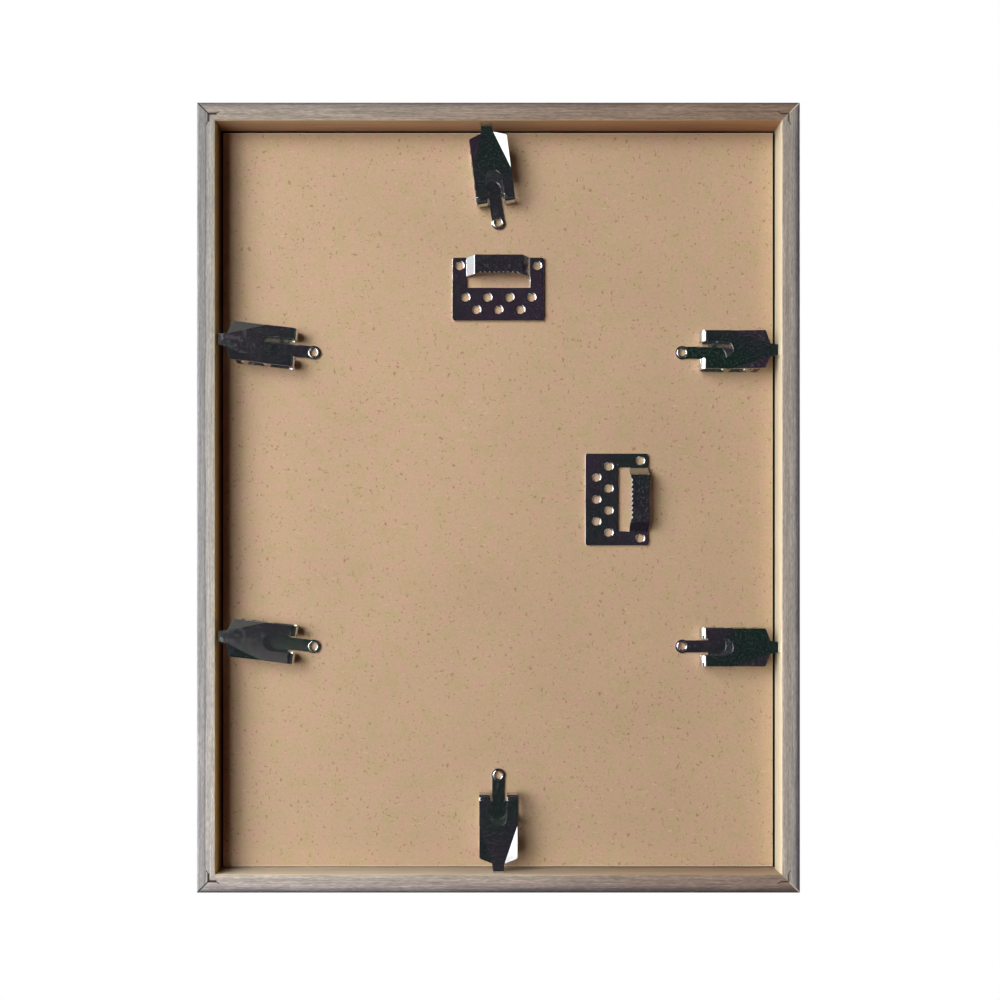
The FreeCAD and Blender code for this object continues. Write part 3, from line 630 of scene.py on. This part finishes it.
# %% Hardboard
CLOUDS = [(0.34, srgb(209, 174, 148)), (0.5, srgb(206, 177, 144)), (0.66, srgb(201, 177, 138))]
BARK = srgb(158, 118, 88)
PALE_FIBRE = srgb(230, 208, 176)
# pale fuzzy fibres, and a painted highlight of the edge catching the light
RIM_FIBRE_AND_HIGHLIGHT = srgb(240, 220, 196)
RIM_HIGHLIGHT_WIDE, RIM_SHADOW_WIDE = (0.3 * MM, 0.8 * MM), (0.25 * MM, 0.4 * MM)

# each shape's scale along the three axes, its turn, and the height of its peaks
BARK_SHAPES = [
    ((760, 760, 420), 0.6, 0.69),
    ((420, 760, 760), -0.5, 0.7),
    ((520, 520, 520), 0.0, 0.7),
]


def flecks(finish, colour):
    """Dark flecks of bark and paler, longer ones of fibre over a colour."""
    for number, (scale, turn, share) in enumerate(BARK_SHAPES):
        place = finish.stretched(scale, move=(number * 3.1, 0, number), turn=(0, turn, 0))
        bark = finish.noise(place, detail=1.0, distortion=0.6)
        colour = finish.mix(finish.spread(bark, share, share + 0.06, 0.0, 0.7), colour, BARK)
    place = finish.stretched((300, 900, 900), move=(3, 0, 0), turn=(0, 0.9, 0))
    pale = finish.noise(place, detail=1.0, distortion=0.8)
    return finish.mix(finish.spread(pale, 0.7, 0.76, 0.0, 0.4), colour, PALE_FIBRE)


def rim_highlight_and_shadow(finish, colour):
    """The pale rim, partly painted highlight, and a band of painted shadow along the right edge,
    over a colour.
    """
    x, _, z = finish.centred()
    beside = finish.math("SUBTRACT", board_high.x, finish.math("ABSOLUTE", x))
    half_high = (board_high.z - board_low.z) / 2
    above = finish.math("SUBTRACT", half_high, finish.math("ABSOLUTE", z))
    rim_highlight = finish.spread(finish.math("MINIMUM", beside, above), *RIM_HIGHLIGHT_WIDE, 0.6, 0.0)
    colour = finish.mix(rim_highlight, colour, RIM_FIBRE_AND_HIGHLIGHT)
    # painted shadow: a dark band along the board's right edge, widening the gap beside the rail
    from_right = finish.math("SUBTRACT", board_high.x, x)
    rim_shadow = finish.spread(from_right, *RIM_SHADOW_WIDE, 1.0, 0.0)
    return finish.mix(rim_shadow, colour, GAP_SHADOW)


def hardboard():
    finish = Finish("hardboard")
    clouds = finish.noise(finish.place, scale=110, detail=3)
    slow = finish.noise(finish.place, scale=14, detail=2)
    grain = finish.noise(finish.place, scale=1300, detail=3, roughness=0.6)
    colour = finish.shaded(finish.bands(clouds, CLOUDS), slow, 0.6, 0.93, 1.04, 0.35, 0.65)
    colour = finish.shaded(colour, grain, 0.5, 0.84, 1.12, 0.3, 0.7)
    colour = rim_highlight_and_shadow(finish, flecks(finish, colour))
    finish.look(Base_Color=colour, Roughness=finish.spread(clouds, 0.3, 0.7, 0.55, 0.7))
    finish.relief(grain, 0.05 * MM, 0.5)
    return finish.material


dress("backing_board", hardboard())
print("hardboard,", len(BARK_SHAPES), "shapes of bark")

# %% [markdown]
# ## Paper and glass
#
# On the side that hangs away from the wall lie a blank sheet of paper and the glass. The glass
# is a shader that lets most light straight through, so that the paper behind it is lit, and the
# paper has the faint cloud of its pulp.

# %% Paper and glass
PAPER_TONES = [(0.35, srgb(238, 234, 224)), (0.65, srgb(244, 240, 232))]
GLASS_TINT = (0.86, 0.92, 0.9, 1)
GLASS_SHARE = 0.12


def blank_paper():
    finish = Finish("blank_paper")
    pulp = finish.noise(finish.place, scale=900, detail=4)
    clouds = finish.noise(finish.place, scale=30, detail=2)
    colour = finish.shaded(finish.bands(clouds, PAPER_TONES), pulp, 0.25, 0.94, 1.0, 0.3, 0.7)
    finish.look(Base_Color=colour, Roughness=0.85)
    finish.relief(pulp, 0.02 * MM, 0.4)
    return finish.material


def window_glass():
    finish = Finish("window_glass")
    smears = finish.noise(finish.place, scale=25, detail=3)
    roughness = finish.spread(smears, 0.4, 0.8, 0.0, 0.03)
    finish.look(Base_Color=GLASS_TINT, Roughness=roughness, Alpha=GLASS_SHARE)
    return finish.material


dress("picture_sheet", blank_paper())
dress("glass_pane", window_glass())
print("paper and glass, which covers", GLASS_SHARE, "of what lies behind it")

# %% [markdown]
# ## Plated steel
#
# Clips and hangers are stamped from spring steel and plated. The plating is a mirror, but a
# rolled and stamped one: it has a breath of green in some places and of purple in others, duller
# rubbed spots, and fine grey specks. A low roughness that varies gives the rubbed spots, and a
# metal that is a few percent paint in places gives the specks.
#
# The slopes and the inside of a hanger's arch are darkened with painted shade, so that the
# slope that turns away from the window stays dark while the other still mirrors it white. The
# underside of a clip's plate has a faint painted glow, which stands in for the light that the
# board sends in from all around: the lower leaf mirrors it, and its window isn't a black hole.

# %% Plated steel
UNDERSIDE = 3.22 * MM
ARCH_FACE, HANGER_FACE = 4.75 * MM, 8.7 * MM
BOUNCE_TINT = (0.8, 1.0, 0.95, 1)


def plated_steel(name, greenish, purplish, painted_bounce=0.0, slope_shade=1.0):
    """Plating with a painted glow under a plate, and painted shade on the slopes of an arch."""
    finish = Finish(name)
    deep = finish.axes(finish.place)[1]
    rub = finish.noise(finish.place, scale=400, detail=4)
    specks = finish.noise(finish.place, scale=1150, detail=2)
    drift = finish.noise(finish.place, scale=70, detail=2)
    colour = finish.bands(drift, [(0.4, greenish), (0.6, purplish)])
    # painted shade on the slopes and the inside of a hanger's arch
    if slope_shade < 1.0:
        past_face = finish.math("GREATER_THAN", deep, ARCH_FACE)
        on_slope = finish.math("MULTIPLY", past_face, finish.math("LESS_THAN", deep, HANGER_FACE))
        dark = finish.mix(1.0, colour, grey_tone(slope_shade), "MULTIPLY")
        colour = finish.mix(on_slope, colour, dark)
    # painted light: a faint glow under a clip's plate, standing in for light from the board
    if painted_bounce > 0.0:
        above = finish.spread(deep, UNDERSIDE - 0.03 * MM, UNDERSIDE)
        below = finish.spread(deep, UNDERSIDE + 0.2 * MM, UNDERSIDE + 0.5 * MM, painted_bounce, 0.0)
        finish.look(Emission_Color=BOUNCE_TINT, Emission_Strength=finish.product(above, below))
    finish.look(
        Base_Color=colour,
        Metallic=finish.spread(specks, 0.5, 0.7, 1.0, 0.92),
        Roughness=finish.spread(rub, 0.4, 0.75, 0.05, 0.1),
    )
    return finish.material


clip_steel = plated_steel("clip_plating", srgb(208, 216, 210), srgb(214, 206, 214), painted_bounce=0.025)
hanger_steel = plated_steel("hanger_plating", srgb(208, 215, 213), srgb(212, 208, 214), slope_shade=0.65)
print("plating:", clip_steel.name, hanger_steel.name)

# %% [markdown]
# ## Clean copies of the stamped parts
#
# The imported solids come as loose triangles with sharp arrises, and a mirror shows every one of
# them. Real stampings have edges tumbled round to a tenth of a millimetre, and that thin round
# edge is what catches the window as a white line. So each clip and hanger is copied from its
# solid, its triangles are joined and melted back into flat faces, and a small bevel rounds its
# edges. The copy stands for the solid in the picture, and stays exactly where that is.
#
# The bevel only touches edges that turn by more than a set angle, which leaves out the facets
# of the rolled bends. Afterwards the rounded edges and the bends are shaded softly, while every
# plate is shaded flat up to its rim, so that it mirrors one thing.

# %% Helpers for copies
FACET_ANGLE = math.radians(27)
HARD_EDGE = math.radians(40)
FLAT_ANGLE = math.radians(0.6)
PLATE_AREA = 15 * MM * MM
SAME_POINT = 0.002 * MM


def finished_mesh(piece):
    """Applies a piece's modifiers and gives the plain mesh back."""
    graph = bpy.context.evaluated_depsgraph_get()
    mesh = bpy.data.meshes.new_from_object(piece.evaluated_get(graph))
    piece.modifiers.clear()
    return mesh


def melted(source, name):
    """A copy of a mesh of loose triangles, joined and melted back into flat faces."""
    form = bmesh.new()
    places = [form.verts.new(vertex.co) for vertex in source.vertices]
    for polygon in source.polygons:
        form.faces.new([places[index] for index in polygon.vertices])
    bmesh.ops.remove_doubles(form, verts=form.verts, dist=SAME_POINT)
    bmesh.ops.dissolve_limit(form, angle_limit=FLAT_ANGLE, verts=form.verts, edges=form.edges)
    bmesh.ops.recalc_face_normals(form, faces=form.faces)
    mesh = bpy.data.meshes.new(name)
    form.to_mesh(mesh)
    form.free()
    return mesh


def crease(mesh):
    """Shades rounded edges and bends softly, and keeps every plate quite flat up to its rim."""
    form = bmesh.new()
    form.from_mesh(mesh)
    for face in form.faces:
        face.smooth = True
    for edge in form.edges:
        if len(edge.link_faces) == 2:
            beside_plate = max(face.calc_area() for face in edge.link_faces) > PLATE_AREA
            edge.smooth = edge.calc_face_angle() < HARD_EDGE and not beside_plate
    form.to_mesh(mesh)
    form.free()


# %% Rounded copies
HANGER_ROUND, CLIP_ROUND = 0.28 * MM, 0.09 * MM


def stamped_copy(node, name, round_edge, material):
    """A copy of a solid with joined faces and rounded edges."""
    piece = set_down(name, melted(nodes[node].data, name))
    piece.data.materials.append(material)
    bevel = piece.modifiers.new("rounding", "BEVEL")
    bevel.width = round_edge
    bevel.segments = 2
    bevel.limit_method = "ANGLE"
    bevel.angle_limit = FACET_ANGLE
    bevel.miter_outer = "MITER_ARC"
    mesh = finished_mesh(piece)
    mesh.name = name
    crease(mesh)
    piece.data = mesh
    return piece


STAMPED = {
    "hanger_upright": ("upright_hanger", "frame", HANGER_ROUND, hanger_steel, "hanger_steel"),
    "hanger_sideways": ("sideways_hanger", "frame", HANGER_ROUND, hanger_steel, "hanger_steel"),
}
for clip in [node for node in nodes if node.startswith("clip_")]:
    STAMPED[clip] = ("spring_" + clip, clip, CLIP_ROUND, clip_steel, "clip_steel")

for node, (name, body, round_edge, material, slot) in STAMPED.items():
    piece = stamped_copy(node, name, round_edge, material)
    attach(piece, body)
    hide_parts(node)
    print(name, "faces:", len(piece.data.polygons))

# %% [markdown]
# ## Helpers for Geometry Nodes
#
# What repeats on this object is grown by Geometry Nodes. Each tree has named inputs for its
# sizes, so one tree serves for any size. It ends by making its instances real, which turns them
# into plain faces, and by giving them their finish. Running a tree leaves a plain mesh.

# %% Helpers for Geometry Nodes
def new_tree(name, inputs):
    """An empty geometry tree, with named inputs given as (name, socket type, value)."""
    tree = bpy.data.node_groups.new(name, "GeometryNodeTree")
    for way in ("INPUT", "OUTPUT"):
        tree.interface.new_socket(name="Geometry", in_out=way, socket_type="NodeSocketGeometry")
    for title, kind, value in inputs:
        socket = tree.interface.new_socket(name=title, in_out="INPUT", socket_type=kind)
        if value is not None:
            socket.default_value = value
    bench = Bench(tree)
    given = bench.add("NodeGroupInput").outputs
    result = bench.add("NodeGroupOutput").inputs[0]
    return bench, given, result


def end_tree(bench, given, result, geometry):
    """Makes the instances real, gives them the finish and hands them out."""
    real = bench.made("GeometryNodeRealizeInstances", [("Geometry", geometry)])
    inputs = [("Geometry", real), ("Material", given["Finish"])]
    bench.feed(result, bench.made("GeometryNodeSetMaterial", inputs))
    return bench.tree


def grow(piece, tree, values):
    """Runs a tree on an object and leaves a plain mesh: values are by the inputs' names."""
    modifier = piece.modifiers.new(tree.name, "NODES")
    modifier.node_group = tree
    for item in tree.interface.items_tree:
        if item.in_out == "INPUT" and item.name in values:
            modifier[item.identifier] = values[item.name]
    mesh = finished_mesh(piece)
    name = mesh.name = piece.name
    bpy.data.objects.remove(piece)
    return set_down(name, mesh)


# %% [markdown]
# ## Corner nails, with Geometry Nodes
#
# A bent steel strip is driven into the back of each mitre and holds the glued joint. All four
# are alike and follow the same bent line, so one line is drawn and Geometry Nodes do the rest:
# a thin section is swept along the line, a grid of two by two points marks the corners, and the
# strip is set on each point, turned so that its knee points outwards. Making four meshes by
# hand would work too, but then a change to the strip would have to be made four times.
#
# The strip's middle line runs from one curled tip to the knee and on to the other tip. The
# sizes are those of the nails in the solids, in millimetres.

# %% The line of a corner nail
NAIL_INSET = 6.0
NAIL_STEEL = 0.8
NAIL_LEG = 4.4
NAIL_TIP = 6.1
NAIL_LIFT = 1.1
NAIL_ARRIS = 0.06
nail_low, nail_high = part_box("corner_nail_top_right")


def nail_line():
    """The bent line of one nail, its knee near the origin and its legs along -x and -y."""
    half = NAIL_STEEL / 2
    leg = [(-NAIL_TIP, NAIL_LIFT - half), (-NAIL_LEG, -half), (-half, -half)]
    points = leg + [(y, x) for x, y in reversed(leg[:-1])]
    curve = bpy.data.curves.new("corner_nails", "CURVE")
    curve.dimensions = "3D"
    spline = curve.splines.new("POLY")
    spline.points.add(len(points) - 1)
    for point, (x, y) in zip(spline.points, points):
        point.co = (x * MM, y * MM, 0, 1)
    print("nail line, points:", len(points))
    return set_down("corner_nails", curve)


# %% The tree of the corner nails
QUARTER_TURN = (math.radians(90), 0, 0)


def nail_tree():
    bench, given, result = new_tree(
        "corner_nail_tree",
        [
            ("Knees Across", "NodeSocketFloat", 0.31),
            ("Knees Upwards", "NodeSocketFloat", 0.41),
            ("Steel", "NodeSocketFloat", 0.0005),
            ("Depth", "NodeSocketFloat", 0.01),
            ("Middle", "NodeSocketVector", (0.0, 0.0, 0.0)),
            ("Finish", "NodeSocketMaterial", None),
        ],
    )

    def moved(geometry, how, value):
        return bench.made("GeometryNodeTransform", [("Geometry", geometry), (how, value)])

    # the strip: a section with eased arrises, swept along the line
    inputs = [("Width", given["Steel"]), ("Height", given["Depth"])]
    section = bench.made("GeometryNodeCurvePrimitiveQuadrilateral", inputs)
    inputs = [("Curve", section), ("Radius", NAIL_ARRIS * MM)]
    eased = bench.made("GeometryNodeFilletCurve", inputs, mode="POLY")
    line = bench.made("GeometryNodeSetCurveNormal", [("Curve", given["Geometry"])], mode="Z_UP")
    inputs = [("Curve", line), ("Profile Curve", eased), ("Fill Caps", True)]
    strip = moved(bench.made("GeometryNodeCurveToMesh", inputs), "Rotation", QUARTER_TURN)

    # the corners: a grid of two by two points
    inputs = [("Size X", given["Knees Across"]), ("Size Y", given["Knees Upwards"])]
    inputs += [("Vertices X", 2), ("Vertices Y", 2)]
    corners = moved(bench.made("GeometryNodeMeshGrid", inputs), "Rotation", QUARTER_TURN)

    # each strip turns by where its corner lies
    x, _, z = bench.axes(bench.made("GeometryNodeInputPosition"))
    angle = bench.math("ARCTAN2", bench.math("SIGN", z), bench.math("SIGN", x))
    turn = bench.math("SUBTRACT", math.radians(45), angle)
    spin = bench.made("ShaderNodeCombineXYZ", [("Y", turn)])
    inputs = [("Points", corners), ("Instance", strip), ("Rotation", spin)]
    strips = bench.made("GeometryNodeInstanceOnPoints", inputs)
    return end_tree(bench, given, result, moved(strips, "Translation", given["Middle"]))


# %% [markdown]
# The nails are dull steel with a little rust. The boxes of one swept nail and of its solid
# are printed side by side.

# %% Corner nails
NAIL_GREY, NAIL_RUST = srgb(58, 52, 48), srgb(74, 54, 38)


def nail_finish():
    finish = Finish("nail_plating", metallic=1.0)
    rust = finish.noise(finish.place, scale=700, detail=3)
    colour = finish.bands(rust, [(0.4, NAIL_GREY), (0.68, NAIL_RUST)])
    finish.look(Base_Color=colour, Roughness=finish.spread(rust, 0.4, 0.7, 0.35, 0.55))
    finish.relief(rust, 0.02 * MM, 0.5)
    return finish.material


nails = grow(
    nail_line(),
    nail_tree(),
    {
        "Knees Across": 2 * (HALF_WIDE - NAIL_INSET * MM),
        "Knees Upwards": 2 * (HALF_HIGH - NAIL_INSET * MM),
        "Steel": NAIL_STEEL * MM,
        "Depth": nail_high.y - nail_low.y,
        "Middle": (0.0, (nail_high.y + nail_low.y) / 2, middle.z),
        "Finish": nail_finish(),
    },
)
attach(nails, "frame")
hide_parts(*[node for node in nodes if node.startswith("corner_nail_")])

places = [vertex.co for vertex in nails.data.vertices]
places = [place for place in places if place.x > 0 and place.z > middle.z]
made_low, made_high = ([end(axis) for axis in zip(*places)] for end in (min, max))
for title, low, high in (("made", made_low, made_high), ("solid", nail_low, nail_high)):
    print("nail, %s:" % title, *[[round(value, 5) for value in corner] for corner in (low, high)])

# %% [markdown]
# ## Loose fibres, with Geometry Nodes
#
# The sawn and pressed board sheds fibres. Some lie on its back, pale and curled, a millimetre
# or two long. Points are scattered over the board's face with a fixed seed, so that each run
# gives the same ones, and a short bent thread is set on each, turned and sized at random. It
# lies half sunk in the surface, so it touches what it lies on.

# %% The tree of the fibres
THREAD = [("Start", (-0.5, 0, -0.06)), ("Middle", (0.05, 0, 0.22)), ("End", (0.5, 0, -0.1))]
SHORTEST_SHARE = 0.25
FIBRE_SEED = 5


def fibre_tree():
    bench, given, result = new_tree(
        "board_fibre_tree",
        [
            ("Per Square Metre", "NodeSocketFloat", 1500.0),
            ("Longest", "NodeSocketFloat", 0.003),
            ("Thickness", "NodeSocketFloat", 0.0001),
            ("Seed", "NodeSocketInt", FIBRE_SEED),
            ("Finish", "NodeSocketMaterial", None),
        ],
    )

    def at_random(low, high):
        inputs = [(2, low), (3, high), ("Seed", given["Seed"])]
        return bench.add("FunctionNodeRandomValue", inputs, data_type="FLOAT").outputs[1]

    # a thread of length 1: a small circle, swept along a bent line
    thread = bench.made("GeometryNodeCurveQuadraticBezier", [("Resolution", 7)] + THREAD)
    inputs = [("Resolution", 5), ("Radius", 1.0)]
    circle = bench.made("GeometryNodeCurvePrimitiveCircle", inputs, mode="RADIUS")
    thin = bench.math("DIVIDE", given["Thickness"], given["Longest"])
    narrow = bench.made("ShaderNodeCombineXYZ", [("X", thin), ("Y", thin), ("Z", 1.0)])
    section = bench.made("GeometryNodeTransform", [("Geometry", circle), ("Scale", narrow)])
    inputs = [("Curve", thread), ("Profile Curve", section), ("Fill Caps", True)]
    fibre = bench.made("GeometryNodeCurveToMesh", inputs)

    # scattered over the face that the tree is run on
    inputs = [("Mesh", given["Geometry"]), ("Density", given["Per Square Metre"])]
    inputs += [("Seed", given["Seed"])]
    points = bench.made("GeometryNodeDistributePointsOnFaces", inputs)
    size = bench.math("MULTIPLY", at_random(SHORTEST_SHARE, 1.0), given["Longest"])
    spin = bench.made("ShaderNodeCombineXYZ", [("Y", at_random(0.0, math.tau))])
    inputs = [("Points", points), ("Instance", fibre), ("Rotation", spin), ("Scale", size)]
    fibres = bench.made("GeometryNodeInstanceOnPoints", inputs)
    return end_tree(bench, given, result, fibres)


# %% Loose fibres
BARE_RIM = 6 * MM
FIBRE_PALE, FIBRE_BROWN = srgb(236, 216, 184), srgb(176, 142, 104)


def fibre_finish():
    finish = Finish("loose_fibre")
    tone = finish.noise(finish.place, scale=160, detail=1)
    colour = finish.bands(tone, [(0.42, FIBRE_PALE), (0.6, FIBRE_BROWN)])
    finish.look(Base_Color=colour, Roughness=0.8)
    return finish.material


def board_patch():
    """The part of the board's back where fibres may lie, as one flat face."""
    left, right = board_low.x + BARE_RIM, board_high.x - BARE_RIM
    bottom, top = board_low.z + BARE_RIM, board_high.z - BARE_RIM
    corners = [(left, bottom), (right, bottom), (right, top), (left, top)]
    return one_face("board_fibres", [(x, board_back, z) for x, z in corners])


fibres = grow(
    board_patch(),
    fibre_tree(),
    {
        "Per Square Metre": 450.0,
        "Longest": 2.4 * MM,
        "Thickness": 0.06 * MM,
        "Seed": FIBRE_SEED,
        "Finish": fibre_finish(),
    },
)
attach(fibres, "frame")
print("fibres, faces:", len(fibres.data.polygons))
